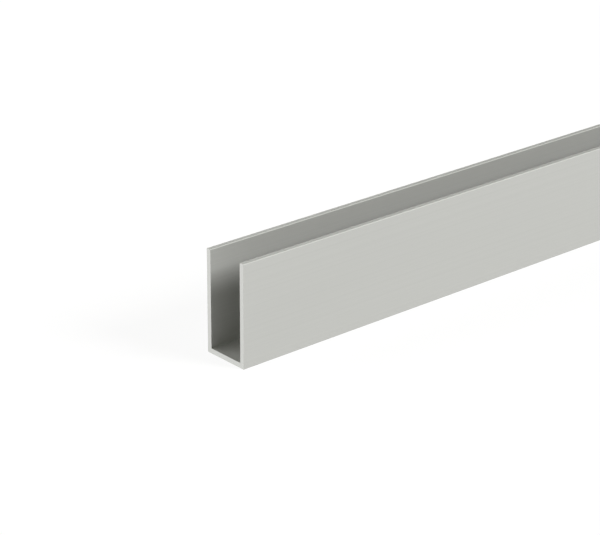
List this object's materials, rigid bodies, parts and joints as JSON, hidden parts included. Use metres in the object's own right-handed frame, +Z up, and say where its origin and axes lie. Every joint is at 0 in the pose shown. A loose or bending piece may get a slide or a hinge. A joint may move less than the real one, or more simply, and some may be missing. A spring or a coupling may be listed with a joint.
{
  "type": "aluminium u-channel profile",
  "caption": "Straight extruded aluminium U-channel bar, deeper than it is wide, with thin flanges and an open top that edges or holds a panel.",
  "frame": {"origin": "underside of the web, halfway along the bar and halfway across it", "axes": "+X along the bar, +Y across it from one flange to the other, +Z up out of the channel's open side"},
  "size_m": [1, 0.01, 0.02],
  "materials": {
    "satin_anodised_aluminium": "satin anodised, natural silver-grey"
  },
  "bodies": {
    "root": {"u_channel": "satin_anodised_aluminium"}
  },
  "joints": []
}
